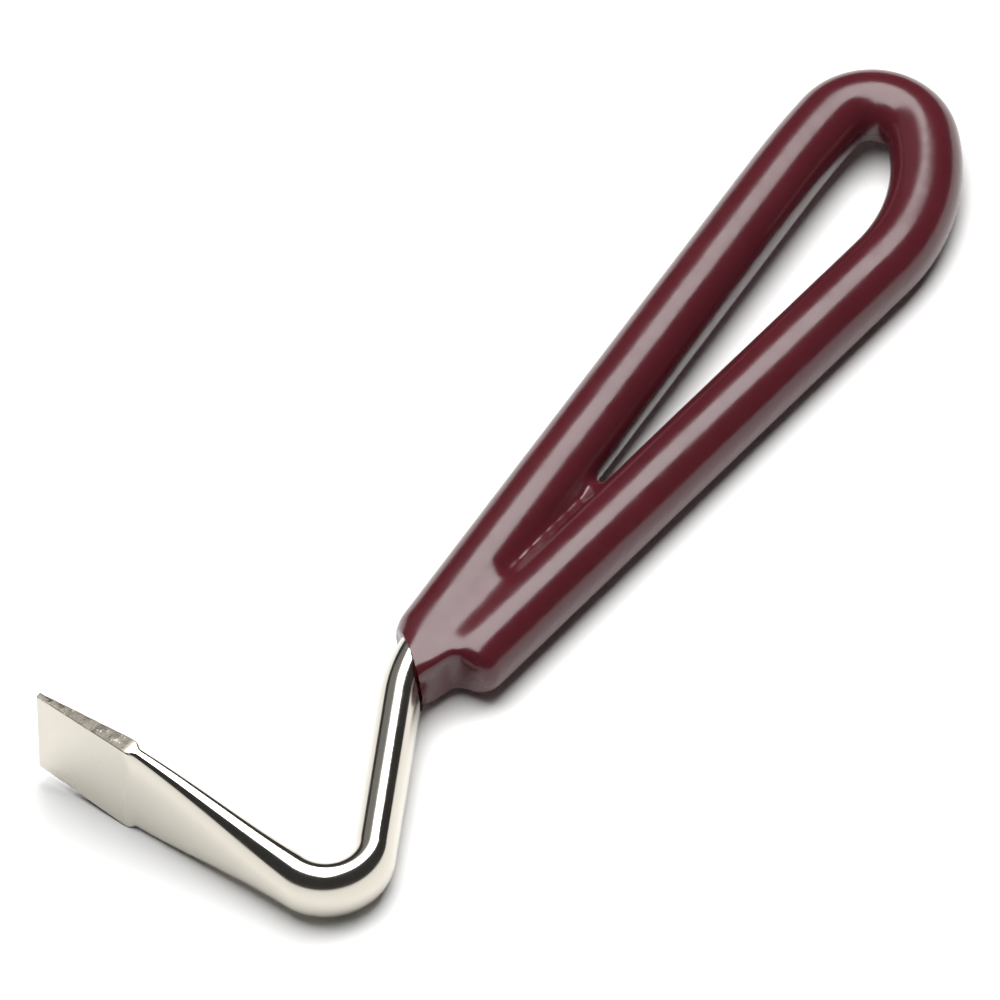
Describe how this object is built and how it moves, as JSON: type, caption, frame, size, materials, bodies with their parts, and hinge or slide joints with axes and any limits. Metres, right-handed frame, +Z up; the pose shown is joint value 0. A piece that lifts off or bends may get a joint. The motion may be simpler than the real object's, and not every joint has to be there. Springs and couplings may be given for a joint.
{
  "type": "hoof pick",
  "caption": "Hoof pick: a plated steel rod forged to a chisel blade on a hooked arm and bent into a long loop handle dipped in glossy burgundy vinyl.",
  "frame": {"origin": "centre of the bounding box's base, on the table that the tool rests on", "axes": "+X along the handle from the hook to the closed end of the loop, +Y the way the arm and blade point, +Z up from the table"},
  "size_m": [0.1588, 0.0524, 0.0176],
  "materials": {
    "plated_steel": "bright nickel plating, fine grinding lines on the blade",
    "weld_metal": "as-welded bead, dull grey, sealed under the vinyl",
    "dipped_vinyl": "glossy burgundy dip-moulded vinyl with a slightly wavy surface"
  },
  "bodies": {
    "root": {"formed_rod": "plated_steel", "weld_tacks": "weld_metal", "vinyl_grip": "dipped_vinyl"}
  },
  "joints": []
}
